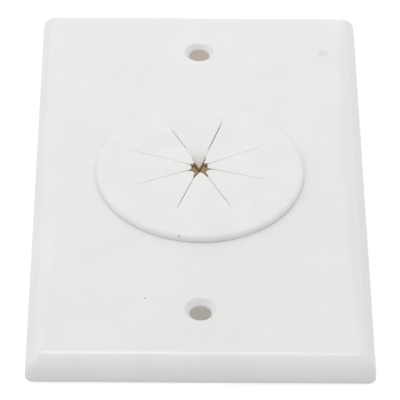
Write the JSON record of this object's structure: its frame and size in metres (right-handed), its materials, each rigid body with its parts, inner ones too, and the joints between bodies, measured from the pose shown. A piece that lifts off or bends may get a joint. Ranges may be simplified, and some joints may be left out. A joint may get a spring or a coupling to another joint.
{
  "type": "grommet wall plate",
  "caption": "White single-gang wall plate with a round flexible grommet, slit into flaps, that lets low voltage cables pass through a wall.",
  "frame": {"origin": "centre of the plate, on the plane of its back rim", "axes": "+X across the plate, +Y along it through both screw holes, +Z out of its face"},
  "size_m": [0.0698, 0.1142, 0.0075],
  "materials": {
    "plate_plastic": "white moulded plastic, soft satin gloss",
    "grommet_rubber": "white flexible rubber, soft sheen"
  },
  "bodies": {
    "root": {"wall_plate": "plate_plastic", "grommet": "grommet_rubber"}
  },
  "joints": []
}
